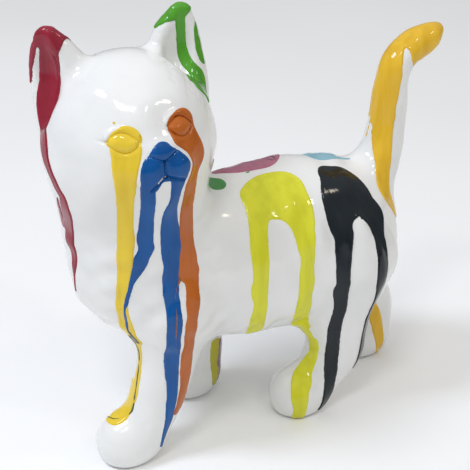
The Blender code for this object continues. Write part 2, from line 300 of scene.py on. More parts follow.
BLUE_RUNS = (
    (FACE, ((-81.8, 206.9, 4.5), (-82, 203.8, 6.6), (-80.8, 199.5, 8.5))),
    (FACE, (
        (-84, 201, 6.3), (-87.6, 196.5, 7), (-89.4, 190.5, 4.9), (-90.4, 186.9, 3.5), (-90.1, 180, 3.3),
        (-89.5, 172, 3.5), (-89.4, 165.8, 3.8), (-89.3, 159.9, 4.2), (-89.1, 154.2, 4.2),
        (-88.4, 150.2, 3.7),
    )),
    (FACE, (
        (-77.5, 201.5, 6.3), (-73.2, 197.2, 7), (-74.2, 190.5, 4.6), (-75.5, 184.5, 3.5),
        (-76.1, 178.4, 3.4), (-76.9, 173.2, 4), (-76.6, 167.4, 4.5), (-76.3, 162.7, 4.9),
        (-75.4, 156.6, 5.9), (-75.1, 151.4, 5.9), (-75.1, 145, 5.5), (-75, 141, 5.1), (-75.1, 137.3, 4.8),
        (-75.8, 132, 4.8), (-75.8, 126.8, 4.9), (-76.4, 121.8, 4.5), (-76.1, 117, 4.2), (-76, 111.7, 4),
        (-75.9, 106.6, 4), (-76.1, 97, 4), (-75.5, 88.2, 4), (-75.6, 82.3, 4), (-75, 73.5, 4),
        (-74.5, 65.2, 3.7), (-73.9, 59.8, 3.3), (-74, 51.5, 3.3), (-74.6, 43.9, 3.3), (-75.3, 34.3, 2.8),
        (-76.6, 27.5, 2.2), (-79.6, 14, 1),
    )),
    (FACE, (
        (-88.4, 150.2, 3.6), (-89.4, 147.8, 4), (-90.7, 145.2, 4.1), (-91.5, 142.4, 3.9),
        (-92.4, 139.2, 3.3), (-93.9, 135.2, 2.6), (-96, 130, 1.7), (-97.4, 124.2, 1.25),
        (-98.4, 118.6, 1.1), (-98.7, 112.8, 0.9), (-98.2, 106.2, 0.8), (-96.9, 99.4, 0.6),
        (-95.6, 95.6, 0.5),
    )),
)
WHITE_LINE = (FACE, (
    (-77.4, 214, 0.6), (-76, 209.2, 0.7), (-72, 205.4, 0.7), (-68.2, 201.6, 0.7), (-66.4, 197.3, 0.7),
    (-68.1, 192.4, 0.7), (-69.4, 187, 0.7), (-70.7, 182.9, 0.6), (-71.6, 178.3, 0.5),
))
BLUE_GAPS = (
    WHITE_LINE,
    (FACE, ((-85.6, 190.2, 0.2), (-84.3, 191.9, 0.5), (-82.9, 192.9, 0.5), (-81.8, 193.2, 0.2))),
)
MOSS_RUNS = (
    (FACE, ((-95.6, 95.6, 0.5), (-93.2, 91.5, 0.5), (-90.2, 85.8, 0.5))),
    (SHIN, (
        (-72.6, 90, 0.45), (-70.8, 87, 0.45), (-69.2, 83.6, 0.45), (-67.9, 79.9, 0.45), (-67.6, 74, 0.5),
        (-68.3, 65.9, 0.45), (-69.1, 58.9, 0.45), (-70.1, 52, 0.45), (-71.2, 46.5, 0.4),
    )),
    (INSTEP, (
        (-71.1, -9.5, 0.45), (-72.3, -13.7, 0.45), (-73.6, -16.8, 0.45), (-76, -18.9, 0.5),
        (-80.2, -20.4, 0.6), (-83.8, -20.7, 0.6), (-87.9, -18.7, 0.5),
    )),
)
ORANGE_RUNS = (
    (FACE, ((-70.6, 216.8, 4.9), (-67.4, 216.6, 5.6), (-65.4, 216.4, 5.8))),
    (FACE, (
        (-68.3, 214.5, 7.9), (-66.9, 210, 7.9), (-62.9, 204, 6.3), (-60.9, 200, 5.3), (-61, 197, 4.5),
        (-62.9, 193, 3.5), (-64.1, 189.4, 3.5), (-65.3, 183.9, 4.2), (-65.4, 176.1, 4.5),
        (-65.9, 170, 4.4), (-65.4, 163.3, 4.8), (-65, 159.1, 5.2), (-65.1, 153.7, 5.6), (-65.2, 148, 5.6),
        (-65.3, 142.2, 5.7), (-65.4, 134.2, 5.9), (-65.3, 131.2, 6.2),
    )),
    (FACE, (
        (-63.2, 131, 4.6), (-63.6, 123.7, 4.4), (-64.4, 118.6, 4.2), (-65.1, 113.1, 4.1),
        (-65.6, 107.2, 3.9), (-66.2, 100.7, 3.9), (-66.3, 93.2, 3.6), (-65.9, 85.6, 3.7),
        (-66.4, 79.9, 4), (-66.3, 72.4, 4.1), (-65.8, 62.4, 3.8), (-66.1, 54.2, 3.4), (-67.1, 44.2, 3.2),
        (-68.2, 39.6, 3), (-70.4, 35.5, 1.8),
    )),
)
ORANGE_GAPS = (WHITE_LINE,)
RUST_RUNS = (
    (FACE, (
        (-70.4, 128.4, 1.2), (-71.6, 126.2, 0.9), (-73, 124, 0.7), (-74.2, 119.5, 0.5),
        (-74.6, 114.8, 0.5), (-74.8, 109.4, 0.5), (-75.2, 100.7, 0.45), (-74.5, 88.3, 0.45),
        (-73.8, 82.3, 0.4),
    )),
)
RED_RUNS = (
    (RIGHT_EAR, ((-83.5, 262, 11), (-83.2, 257, 8.6), (-81.5, 252, 6))),
    (RIGHT_EAR, (
        (-82.7, 251, 6), (-82.7, 246.8, 5.6), (-83.8, 239.5, 6.3), (-84.4, 234.7, 6.2),
        (-83.8, 230.8, 6.8), (-83.6, 225.7, 7.2), (-83.8, 221.9, 7), (-84.6, 218.4, 5.4),
        (-83.8, 215.6, 3),
    )),
    (RIGHT_EAR, (
        (-89.6, 253.5, 1.7), (-90.4, 251.1, 1.6), (-91.8, 248, 1.9), (-93.1, 243, 1.6),
        (-94.9, 236.5, 1.7), (-95.5, 230, 1.2),
    )),
    (RIGHT_CHEEK, (
        (-53.3, 217.9, 2.6), (-51.3, 211.6, 3.2), (-44.3, 206.9, 5), (-40, 201.8, 4.5), (-37, 196.7, 3.6),
        (-33.8, 192.6, 3), (-31, 187.6, 2.9), (-29.5, 182.2, 3.2), (-27.7, 177.9, 3.1),
        (-28.6, 172.3, 3.8), (-29.9, 167, 4.4), (-33, 159.5, 4.4), (-34.8, 153.4, 4.5),
        (-35.4, 146.4, 4.1), (-34.2, 141.7, 3.5), (-34.3, 134.9, 2.6), (-35.1, 126.4, 1.6),
        (-35.6, 120.1, 0.8), (-36.1, 115.6, 0.5),
    )),
    (RIGHT_CHEEK, ((-33.8, 175.2, 0.6), (-37.6, 168, 1.6), (-39.9, 161.9, 2.2), (-40.8, 154.9, 2))),
)
GREEN_RUNS = (
    (EAR_TIP, (
        (-42, 262.5, 5.6), (-46.4, 259.6, 3.6), (-50.4, 257.6, 2.4), (-53.6, 255.2, 1.6),
        (-56.3, 252.2, 0.7),
    )),
    (LEFT_EAR, (
        (-45.8, 261.5, 2.9), (-45.6, 254.3, 3), (-45.3, 249.6, 2.4), (-45.2, 243.8, 2.5),
        (-44.6, 237.8, 3), (-43.8, 235.3, 3.1), (-42.8, 233, 3.2), (-40.7, 230.5, 3.1),
        (-38.5, 227.5, 3.2), (-36.6, 224.3, 2.6), (-35.3, 221, 1.7), (-34.3, 217, 0.8),
    )),
    (EAR_BACK, (
        (-34.5, 253.8, 0.5), (-34.8, 250.5, 1.4), (-34.9, 247.1, 1.8), (-34.3, 243.3, 2.3),
        (-34.2, 239.7, 2.4), (-33.6, 235.7, 2.4), (-33.2, 233.7, 2), (-32.1, 231.6, 0.9),
    )),
)
LEAF_RUNS = (
    (HAUNCH, ((-36, 113, 4.6), (-32.5, 111.4, 5.2), (-30, 110.4, 4.8))),
    (BACK, ((-10, 79, 0.8), (-8.6, 79, 0.8))),
)
MAUVE_RUNS = (
    (BACK, (
        (-25, 86.5, 2), (-16, 86.4, 4.8), (-6, 85.6, 6.4), (4, 86, 6.6), (11, 88.3, 5), (19, 92.5, 1.8),
    )),
    (FAR_FLANK, (
        (9, 168, 8), (9.5, 158, 7), (10, 146, 6), (10.4, 132, 5.2), (9.6, 118, 4.6), (10, 104, 3),
    )),
)
SKY_RUNS = (
    (BACK, (
        (33.5, 85.6, 1.6), (37.5, 83, 4.2), (41.5, 81.4, 4.2), (47, 80, 2.8), (55, 79, 1.6),
        (62, 78.5, 1),
    )),
    (FAR_FLANK, (
        (-46, 168, 8), (-48, 156, 7), (-48.6, 140, 5.6), (-48, 120, 4.8), (-49, 96, 4.2), (-50, 78, 2.6),
    )),
)
LIME_RUNS = (
    (HAUNCH, ((-13.3, 95.6, 9.3), (-6, 97.8, 11.3), (3, 98, 11.2), (6.8, 96.8, 10.6))),
    (HAUNCH, ((6.8, 96.8, 10.6), (8, 89, 9.8), (8.6, 82, 9.1), (8.4, 76, 8.1))),
    (HAUNCH, ((-12, 90, 9.8), (-2, 88, 10), (6, 88, 11))),
    (HAUNCH, ((-3, 88, 10), (1, 82, 9))),
    (FLANK, (
        (-15.6, 151.9, 6.3), (-17, 147.4, 6), (-19, 139.4, 5.7), (-20.1, 130.8, 5.6), (-20.3, 124, 5.5),
        (-20.3, 118.9, 5.4), (-20.4, 114.6, 5.4), (-20.9, 110, 5.8), (-20.4, 105, 5.5), (-19.9, 101.4, 5),
        (-19.6, 94.9, 4.8), (-18.9, 87.6, 5.2), (-17.7, 79.1, 5), (-16.7, 74.1, 4.6),
    )),
    (FLANK, (
        (7.6, 139.3, 7.2), (7.7, 134.1, 7), (8.3, 129.1, 6), (8.9, 125.3, 5.2), (8.8, 116.8, 5),
        (8.4, 107.8, 5.6), (8.1, 98.2, 5.5), (9.8, 84.6, 5.1), (13.3, 72.2, 4.4), (18.4, 65.6, 2.8),
    )),
    (HIND_SHIN, (
        (23.4, 71.4, 3), (26.4, 66.6, 3.1), (30.4, 59.4, 3), (32.4, 56.3, 2), (34.2, 52.5, 2.4),
        (34.7, 50.3, 2.6),
    )),
    (HIND_INSTEP, (
        (34.7, 28.5, 2.2), (34.9, 25.3, 2.8), (33.2, 21.6, 3.8), (30.8, 17.8, 4.8), (28.7, 13.8, 5.5),
        (27.7, 10.7, 6), (27, 6.6, 6.4), (26.6, 2.2, 5.7), (26.5, -2.4, 5), (26.7, -6.6, 3.9),
    )),
    (HIND_SHIN, ((26.5, 19.9, 5), (26.7, 15, 3.9), (26.6, 10.4, 3.9), (26, 6.2, 4.1))),
)
LIME_GAPS = (
    (HAUNCH, (
        (-9.4, 79.4, 1.5), (-8.4, 77.2, 3.4), (-6.8, 72.8, 6.6), (-6.2, 67, 7.8), (-6, 60, 9.1),
        (-6, 50, 9.5), (-6, 40, 9.5),
    )),
)
BLACK_RUNS = (
    (HAUNCH, (
        (37, 99.6, 7), (39, 93, 11.2), (38.6, 86, 13.2), (38.5, 80, 13.6), (37.5, 74, 12),
        (36.5, 70, 10.4),
    )),
    (HAUNCH, (
        (37, 99.6, 7), (43, 97.4, 8), (47.5, 93.5, 9), (51.5, 87, 10), (54, 80, 9.2), (56.8, 74, 9),
        (58.5, 69, 8.8), (59.5, 64, 7),
    )),
    (OUTER_LEG, (
        (33.9, 139.9, 8.8), (33.5, 135.6, 7.4), (33.8, 128.8, 6.1), (33.1, 122, 5.7), (32.2, 115, 5),
        (31.4, 107.6, 4.6), (31.4, 101.2, 4.3), (30.8, 97.8, 4.7), (31.4, 91.7, 4.2), (31.9, 85.5, 3.8),
        (31.9, 79.2, 3.7), (31.6, 72.8, 3.4), (31.5, 66, 3.2), (32.4, 54.9, 3.3), (33.1, 45.3, 3.4),
        (33.2, 36.7, 3.6), (33, 27.2, 3.9), (32.8, 20, 4.3), (30.4, 13.2, 3.4), (27.2, 8.2, 1.7),
    )),
    (OUTER_LEG, (
        (60, 125.9, 5.2), (59.5, 119, 5.5), (58.6, 111.1, 5.4), (57.6, 103, 4.9), (57.2, 98, 4.7),
        (57.9, 92.7, 4.3), (57.6, 84.5, 3.6), (55.6, 76, 3), (53.9, 69.9, 3), (53.7, 63.8, 2.9),
        (53.9, 57.8, 2.7), (54.2, 51.8, 2.8), (54.4, 43.8, 3), (53.2, 36, 2.2), (51.6, 30, 0.8),
    )),
)
BLACK_GAPS = (
    (HAUNCH, (
        (46.7, 71.1, 0.7), (45.4, 69, 2), (45.2, 66.8, 3.8), (46.2, 64.6, 5.5), (47, 62.2, 6.5),
        (46.7, 59.3, 6.9), (46.4, 56, 7.2), (45.4, 49.6, 7.8), (44.6, 44.5, 8),
    )),
)
AMBER_RUNS = (
    (TAIL_SIDE, (
        (120, 229.6, 8), (110.3, 230.6, 8.5), (103, 226.8, 9), (95, 221, 6.5), (88.6, 216.9, 4),
        (86.6, 211.5, 4.5), (85.8, 205.9, 4.9), (84.6, 198.1, 4.8), (83.3, 191.8, 4.7),
        (82.8, 183.9, 4.6),
    )),
    (TAIL_ROOT, (
        (82.8, 183.9, 4.6), (82.2, 178.5, 4.4), (81.3, 172.5, 4.5), (80.4, 166, 4.8), (79.6, 161.9, 4.8),
        (78.8, 155.7, 4.8), (77.5, 150.3, 5.3), (76.8, 145.4, 5.6), (77, 141.2, 4.8), (78.2, 136.8, 3.5),
        (80.7, 132, 2.3), (83.2, 127.5, 1.7), (85.8, 122.7, 1.2),
    )),
    (TAIL_SIDE, ((98.3, 222.2, 3.6), (98.9, 219.1, 3.9), (99.1, 215.7, 2.8), (99.3, 212.6, 0.6))),
    (TAIL_SIDE, ((101, 220, 3), (105.6, 219.2, 5), (114, 226, 5.2))),
    (FAR_SHIN, (
        (76, 66, 2.6), (78, 58, 3.4), (82.4, 46, 3.9), (86, 38, 4.1), (87.9, 31.7, 4.2),
        (89.1, 25.7, 4.1), (90.6, 17.5, 3.4), (91, 9.6, 2.4), (90.8, 5, 1.2),
    )),
)
AMBER_GAPS = (
    (TAIL_SIDE, ((94.7, 223.1, 0.5), (94.6, 220.7, 1.7), (94.5, 215.9, 3.1), (95.1, 212.3, 4.3))),
)
OLIVE_RUNS = (
    (INNER_SHIN, (
        (-25.9, 46, 2.5), (-26.4, 41.9, 2.6), (-26.8, 34.9, 2.6), (-27.2, 27.4, 2.2), (-26.5, 20.8, 2.2),
        (-26.4, 15.9, 1.7), (-26.9, 11.1, 0.9),
    )),
    (FAR_FLANK, ((52, 160, 6), (53, 148, 5.4), (53.4, 130, 4.8), (52.6, 112, 4.4), (50, 94, 2.6))),
)
PLUM_RUNS = (
    (INNER_SHIN, (
        (-23.4, 44.6, 1.1), (-23.6, 39, 1.5), (-24, 31.3, 1.7), (-24.4, 23.8, 1.6), (-24.5, 17.5, 1),
        (-25.3, 12.3, 0.4),
    )),
    (FAR_FLANK, ((-12, 160, 6), (-13, 150, 5.4), (-13.4, 136, 4.4), (-12.8, 122, 3))),
)

# Enamels: name, runs, gaps, thickness, colour, and the deeper colour of its streaks
ENAMELS = (
    ("enamel_sky", SKY_RUNS, (), 0.30, "#8FBCCB", "#86B4C5"),
    ("enamel_mauve", MAUVE_RUNS, (), 0.32, "#B56F88", "#AC667F"),
    ("enamel_leaf", LEAF_RUNS, (), 0.34, "#4F9650", "#488D48"),
    ("enamel_olive", OLIVE_RUNS, (), 0.32, "#B9B32C", "#AEA728"),
    ("enamel_plum", PLUM_RUNS, (), 0.30, "#7C4A5C", "#734455"),
    ("enamel_amber", AMBER_RUNS, AMBER_GAPS, 0.42, "#E9BC36", "#DFB02C"),
    ("enamel_yellow", YELLOW_RUNS, (), 0.42, "#EDCE3E", "#E5C436"),
    ("enamel_blue", BLUE_RUNS, BLUE_GAPS, 0.50, "#08569C", "#074F92"),
    ("enamel_orange", ORANGE_RUNS, ORANGE_GAPS, 0.46, "#BF6622", "#B35D1E"),
    ("enamel_rust", RUST_RUNS, (), 0.72, "#A0642F", "#965D2B"),
    ("enamel_moss", MOSS_RUNS, (), 0.70, "#5A6440", "#535C3B"),
    ("enamel_red", RED_RUNS, (), 0.46, "#97283A", "#8B2434"),
    ("enamel_green", GREEN_RUNS, (), 0.44, "#55A02E", "#4B9428"),
    ("enamel_lime", LIME_RUNS, LIME_GAPS, 0.46, "#E0DF38", "#D5D431"),
    ("enamel_black", BLACK_RUNS, BLACK_GAPS, 0.50, "#1A2228", "#161D22"),
)

# White glaze: tones with their stops, gloss, noise as scale and detail, and bumps as strength and distance
GLAZE_TONES = ((0.35, "#E8E8E6"), (0.65, "#EFEFED"))
GLAZE_IOR = 1.5
GLAZE_ROUGHNESS = (0.05, 0.17)
GLAZE_CLOUD = (28, 3)
GLAZE_SWELL = (90, 2)
GLAZE_SWELL_BUMP = (0.25, 0.0012)
GLAZE_PEEL = (420, 2)
PEEL_BUMP = (0.12, 0.0003)

# Enamels' finish: the stops of the two tones, gloss, and streaks and swells drawn out down the run
ENAMEL_STOPS = (0.36, 0.6)
ENAMEL_IOR = 1.38
ENAMEL_ROUGHNESS = (0.04, 0.16)
ENAMEL_STREAK = (150, 3, (1, 1, 0.12))
ENAMEL_SWELL = (110, 2, (1, 1, 0.4))
ENAMEL_SWELL_BUMP = (0.3, 0.001)
ENAMEL_PEEL = (380, 2)

# Studio: the pale floor, the sky from the horizon to overhead, and the soft boxes, each as name, azimuth,
# elevation, distance, size, power and colour
FLOOR_SIZE = 6.0
FLOOR_TONES = ((0.3, "#FAFAFA"), (0.7, "#FEFEFE"))
FLOOR_CLOUD = (3, 2)
FLOOR_ROUGHNESS = 0.9
SKY_TONES = ((0.0, "#84888B"), (0.35, "#BCBCBA"), (1.0, "#FFFFFF"))
SKY_STRENGTH = 0.74
SOFTBOXES = (
    ("window", -4, 55, 1.6, (0.42, 0.28), 10.2, "#E6EEFF"),
    ("front", 46, 56, 1.8, (0.34, 0.2), 5, "#FFFFFF"),
    ("lamp", 142, 41, 1.7, (0.2, 0.14), 1.5, "#FFF3E0"),
    ("spark", 104, 50, 1.7, (0.13, 0.07), 1.3, "#FFFFFF"),
)

# Camera: the photograph's view, in the sculpting frame's millimetres
VIEW_AZIMUTH = 62
VIEW_ELEVATION = 26
VIEW_DISTANCE = 650
VIEW_TARGET = (1, -16, 125)
VIEW_ZOOM = 1105 / 470
SENSOR = 36.0


def blend_min(a, b, reach):
    """The smaller of two distances, melted together where they differ by less than reach."""
    overlap = np.maximum(reach - np.abs(a - b), 0.0) / reach
    return np.minimum(a, b) - overlap * overlap * reach * 0.25


def blend_max(a, b, reach):
    return -blend_min(-a, -b, reach)


def bell(distance, width):
    return np.exp(-((distance / width) ** 2))


def in_box(points, low, high):
    """Marks the points near a box, and gives a safe distance for the rest."""
    gap = np.maximum(np.maximum(low - points, points - high), 0.0)
    away = np.sqrt(np.einsum("ij,ij->i", gap, gap))
    return away < NEAR, np.maximum(away, NEAR)


def smooth_sections(joints, steps=5):
    """Catmull-Rom curve through rows of x, y, z and radius."""
    rows = np.array(joints, float)
    rows = np.vstack([2 * rows[0] - rows[1], rows, 2 * rows[-1] - rows[-2]])
    found = []
    for i in range(1, len(rows) - 2):
        a, b, c, d = rows[i - 1 : i + 3]
        for j in range(steps):
            t = j / steps
            cubic = (3 * b - a - 3 * c + d) * t**3
            square = (2 * a - 5 * b + 4 * c - d) * t**2
            found.append(0.5 * (2 * b + (c - a) * t + square + cubic))
    found.append(rows[-2])
    return np.array(found)


def limb(points, joints, flatness=1.0, across=(1, 0, 0)):
    """Distance to a tapering limb. Its section is squeezed along the direction across."""
    rows = smooth_sections(joints)
    across = np.array(across, float)
    widest = rows[:, 3].max()
    close, distance = in_box(points, rows[:, :3].min(0) - widest, rows[:, :3].max(0) + widest)
    near = points[close]
    best = np.full(len(near), FAR)
    for start, end in zip(rows[:-1], rows[1:]):
        axis = end[:3] - start[:3]
        length = np.sqrt(axis @ axis)
        axis = axis / length
        taper = (end[3] - start[3]) / length
        lean = taper / np.sqrt(max(1 - taper * taper, 0.05))
        offset = near - start[:3]
        along = offset @ axis
        aside = offset - along[:, None] * axis
        square = np.einsum("ij,ij->i", aside, aside)
        if flatness != 1.0:
            part = aside @ across
            square = np.maximum(square - part**2 + (part / flatness) ** 2, 0.0)
        at = np.clip(along + np.sqrt(square) * lean, 0.0, length)
        best = np.minimum(best, np.sqrt(square + (along - at) ** 2) - start[3] - at * taper)
    distance[close] = best
    return distance


def egg(points, centre, radii, axes=None):
    """Distance to an ellipsoid, nearly true close to its surface."""
    centre = np.array(centre, float)
    radii = np.array(radii, float)
    close, distance = in_box(points, centre - radii.max(), centre + radii.max())
    offset = points[close] - centre
    if axes is not None:
        offset = offset @ axes
    scaled = offset / radii
    one = np.sqrt(np.einsum("ij,ij->i", scaled, scaled))
    two = np.sqrt(np.einsum("ij,ij->i", scaled / radii, scaled / radii))
    distance[close] = one * (one - 1.0) / np.maximum(two, 1e-9)
    return distance


def towards(azimuth, elevation):
    """The direction with this azimuth and elevation in degrees."""
    turn, lift = np.radians([azimuth, elevation])
    return np.array([np.sin(turn) * np.cos(lift), -np.cos(turn) * np.cos(lift), np.sin(lift)])


def head_axes():
    """Columns: the head's left, forward and up."""
    yaw, roll = np.radians([HEAD_YAW, HEAD_ROLL])
    forward = towards(HEAD_YAW, HEAD_PITCH)
    left = np.array([np.cos(yaw), np.sin(yaw), 0.0])
    up = np.cross(left, -forward)
    tilted_left = left * np.cos(roll) + up * np.sin(roll)
    tilted_up = up * np.cos(roll) - left * np.sin(roll)
    return np.stack([tilted_left, forward, tilted_up], 1)


HEAD = head_axes()


def on_head(place):
    return np.array(HEAD_CENTRE) + HEAD @ np.array(place, float)


def head_limb(points, joints, **section):
    return limb(points, [(*on_head(j[:3]), j[3]) for j in joints], **section)


def line_gap(x, z, line):
    """Distance in the face's plane to a line through points."""
    best = np.full(len(x), FAR)
    for (ax, az), (bx, bz) in zip(line[:-1], line[1:]):
        dx, dz = bx - ax, bz - az
        t = np.clip(((x - ax) * dx + (z - az) * dz) / (dx * dx + dz * dz), 0.0, 1.0)
        best = np.minimum(best, np.hypot(x - ax - t * dx, z - az - t * dz))
    return best


def eye_relief(x, z, eye, side):
    """How far an eye lowers (+) or raises (-) the face."""
    at_x, at_z, half_length, tilt = eye
    along = (x - at_x) * side
    up = z - at_z - tilt * along
    arc = EYE_HALF_HEIGHT * (1 - (along / half_length) ** 2)
    slope = 2 * EYE_HALF_HEIGHT * along / half_length**2
    edge = (np.abs(up) - arc) / np.sqrt(1 + slope**2)
    inside = np.clip(-edge / EYE_HALF_HEIGHT, 0, 1)
    upper = np.where(up > 0, 1.0, LOWER_LID) * (np.abs(along) < half_length + LID_OVERHANG)
    relief = SOCKET_DEPTH * bell(np.hypot(along, up * SOCKET_FLATNESS), SOCKET_WIDTH)
    relief -= EYE_BULGE * (1 - (1 - inside) ** 2)
    relief += EYE_LINE_DEPTH * bell(edge, EYE_LINE_WIDTH)
    relief -= LID_HEIGHT * bell(edge - LID_GAP, LID_WIDTH) * upper
    return relief


def mouth_relief(x, z):
    nose_low = (NOSE_AT[0], NOSE_AT[2] - NOSE_RADII[2])
    mouth = [[nose_low, MOUTH_TOP], [MOUTH_TOP, *MOUTH_RIGHT], [MOUTH_TOP, *MOUTH_LEFT]]
    relief = sum(CREASE_DEPTH * bell(line_gap(x, z, line), CREASE_WIDTH) for line in mouth)
    nostrils = [(side * NOSTRIL_SPREAD + NOSE_AT[0], NOSE_AT[2] - NOSTRIL_DROP) for side in (-1, 1)]
    under_nose = [nostrils[0], nose_low, nostrils[1]]
    return relief + UNDER_NOSE_DEPTH * bell(line_gap(x, z, under_nose), UNDER_NOSE_WIDTH)


def face(points, head):
    """Adds the muzzle, nose, mouth and eyes to the skull."""
    head = blend_min(head, head_limb(points, BRIDGE), BRIDGE_BLEND)
    head = blend_min(head, egg(points, on_head(MUZZLE_AT), MUZZLE_RADII, HEAD), MUZZLE_BLEND)
    for side in (-1, 1):
        pad = on_head((side * PAD_SPREAD + NOSE_AT[0], PAD_FORWARD, PAD_UP))
        head = blend_min(head, egg(points, pad, PAD_RADII, HEAD), PAD_BLEND)
    head = blend_min(head, egg(points, on_head(NOSE_AT), NOSE_RADII, HEAD), NOSE_BLEND)
    head = blend_min(head, egg(points, on_head(CHIN_AT), CHIN_RADII, HEAD), CHIN_BLEND)
    local = (points - HEAD_CENTRE) @ HEAD
    front = np.clip((local[:, 1] - RELIEF_FROM) / RELIEF_FADE, 0, 1)
    front *= np.abs(local[:, 0]) < RELIEF_HALF_WIDTH
    front *= np.abs(local[:, 2]) < RELIEF_HALF_HEIGHT
    rows = np.where(front > 0)[0]
    x, z = local[rows, 0], local[rows, 2]
    relief = eye_relief(x, z, RIGHT_EYE, -1) + eye_relief(x, z, LEFT_EYE, 1) + mouth_relief(x, z)
    head[rows] += relief * front[rows]
    return head


def ear(points, side, opens, shift):
    """An ear's solid cone and the hollow scooped out of its front."""
    angle = np.radians(opens)
    out = np.array([side * np.sin(angle), np.cos(angle), 0.0])
    aside = np.array([side * np.cos(angle), -np.sin(angle), 0.0])
    solid = [(side * x, y, z, r) for x, y, z, r in EAR_SECTIONS]
    hollow = []
    for row, across, lift, radius in zip(solid, shift, EAR_HOLLOW_OUT, EAR_HOLLOW_RADII):
        centre = np.array(row[:3]) + aside * across + out * lift - np.array([0, 0, EAR_HOLLOW_DROP])
        hollow.append((*centre, radius))
    facing = HEAD @ out
    return (
        head_limb(points, solid, flatness=EAR_FLATNESS, across=facing),
        head_limb(points, hollow, flatness=EAR_HOLLOW_FLATNESS, across=facing),
    )


def leg_joints(places, radii):
    return [(x, y, z, r) for (x, y), z, r in zip(places, LEG_HEIGHTS, radii)]


LEGS = (
    (leg_joints(LEFT_FRONT, FRONT_LEG_RADII), PAW_REACH["left front"]),
    (leg_joints(RIGHT_FRONT, FRONT_LEG_RADII), PAW_REACH["right front"]),
    (leg_joints(LEFT_HIND, HIND_LEG_RADII), PAW_REACH["left hind"]),
    (leg_joints(RIGHT_HIND, HIND_LEG_RADII), PAW_REACH["right hind"]),
)


def body(points):
    trunk = [(0, *row) for row in TRUNK]
    neck = [(0, *row) for row in NECK]
    tail = [(0, *row) for row in TAIL]
    form = blend_min(limb(points, trunk, flatness=TRUNK_FLATNESS), limb(points, neck), TRUNK_BLEND)
    for joints, reach in LEGS:
        x, y = joints[-1][:2]
        form = blend_min(form, limb(points, joints), LEG_BLEND)
        form = blend_min(form, egg(points, (x, y + reach, PAW_HEIGHT), PAW_RADII), PAW_BLEND)
    return blend_min(form, limb(points, tail), TAIL_BLEND)


def cat_form(points):
    """Distance to the cat's surface, negative inside."""
    head = egg(points, on_head(SKULL_AT), SKULL_RADII, HEAD)
    right_cheek = egg(points, on_head(RIGHT_CHEEK_AT), RIGHT_CHEEK_RADII, HEAD)
    left_cheek = egg(points, on_head(LEFT_CHEEK_AT), LEFT_CHEEK_RADII, HEAD)
    head = face(points, blend_min(head, blend_min(right_cheek, left_cheek, CHEEKS_BLEND), CHEEK_BLEND))
    for side, opens, shift in ((-1, RIGHT_EAR_OPENS, RIGHT_EAR_SHIFT), (1, LEFT_EAR_OPENS, LEFT_EAR_SHIFT)):
        solid, hollow = ear(points, side, opens, shift)
        head = blend_min(head, solid, EAR_BLEND)
        head = blend_max(head, -hollow, EAR_HOLLOW_BLEND)
    form = blend_min(body(points), head, HEAD_BLEND)
    return blend_max(form, SOLE - points[:, 2], SOLE_ROUNDING)


def block_out():
    """Balls along every limb, joined in one mesh."""
    rows = [smooth_sections([(0, *row) for row in part]) for part in (TRUNK, NECK, TAIL)]
    for joints, reach in LEGS:
        x, y = joints[-1][:2]
        rows.append(smooth_sections(joints))
        rows.append(np.array([(x, y + reach * t, PAW_HEIGHT, BLOCK_PAW) for t in BLOCK_PAW_PLACES]))
    for side in (-1, 1):
        ear_rows = smooth_sections([(side * x, y, z, r * BLOCK_EAR) for x, y, z, r in EAR_SECTIONS])
        rows.append(np.array([(*on_head(row[:3]), row[3]) for row in ear_rows]))
    rows.append(np.array([(*on_head(place), radius) for place, radius in BLOCK_HEAD]))
    mesh = bmesh.new()
    for row in np.vstack(rows):
        ball = bmesh.ops.create_icosphere(mesh, subdivisions=3, radius=float(row[3]))
        bmesh.ops.translate(mesh, verts=ball["verts"], vec=Vector(row[:3]))
    return mesh


def remeshed(obj, voxel):
    """Gives the object its voxel remesh, and returns the corner points of it."""
    modifier = obj.modifiers.new("skin", "REMESH")
    modifier.mode = "VOXEL"
    modifier.voxel_size = voxel
    graph = bpy.context.evaluated_depsgraph_get()
    made = bpy.data.meshes.new_from_object(obj.evaluated_get(graph))
    obj.modifiers.clear()
    obj.data = made
    points = np.empty(len(made.vertices) * 3)
    made.vertices.foreach_get("co", points)
    return points.reshape(-1, 3)


def put_points(obj, points):
    obj.data.vertices.foreach_set("co", points.ravel())
    obj.data.update()


def ripple(points, size, seed, waves=14):
    """Smooth random relief about one unit high, with features of about this size."""
    random = np.random.default_rng(seed)
    total = np.zeros(len(points))
    for _ in range(waves):
        way = random.normal(size=3)
        way *= 2 * np.pi / (size * random.uniform(*WAVE_LENGTHS) * np.linalg.norm(way))
        total += np.sin(points @ way + random.uniform(0, 2 * np.pi))
    return total / np.sqrt(waves / 2)


def slopes(points, step=0.05):
    value = cat_form(points)
    slope = np.empty_like(points)
    for axis in range(3):
        nudged = points.copy()
        nudged[:, axis] += step
        slope[:, axis] = (cat_form(nudged) - value) / step
    return value, slope


def settle(points, rounds, most=3.0):
    """Moves points along the form's slope onto its surface, and gives the outward normals there."""
    for _ in range(rounds):
        value, slope = slopes(points)
        steep = np.maximum(np.einsum("ij,ij->i", slope, slope), LEAST_SLOPE)
        move = slope * (value / steep)[:, None]
        size = np.linalg.norm(move, axis=1, keepdims=True)
        points = points - move * np.minimum(1.0, most / np.maximum(size, 1e-9))
    normals = slope / np.maximum(np.linalg.norm(slope, axis=1, keepdims=True), 1e-9)
    return points, normals


def fade(value, start, end):
    t = np.clip((value - start) / (end - start), 0.0, 1.0)
    return t * t * (3 - 2 * t)


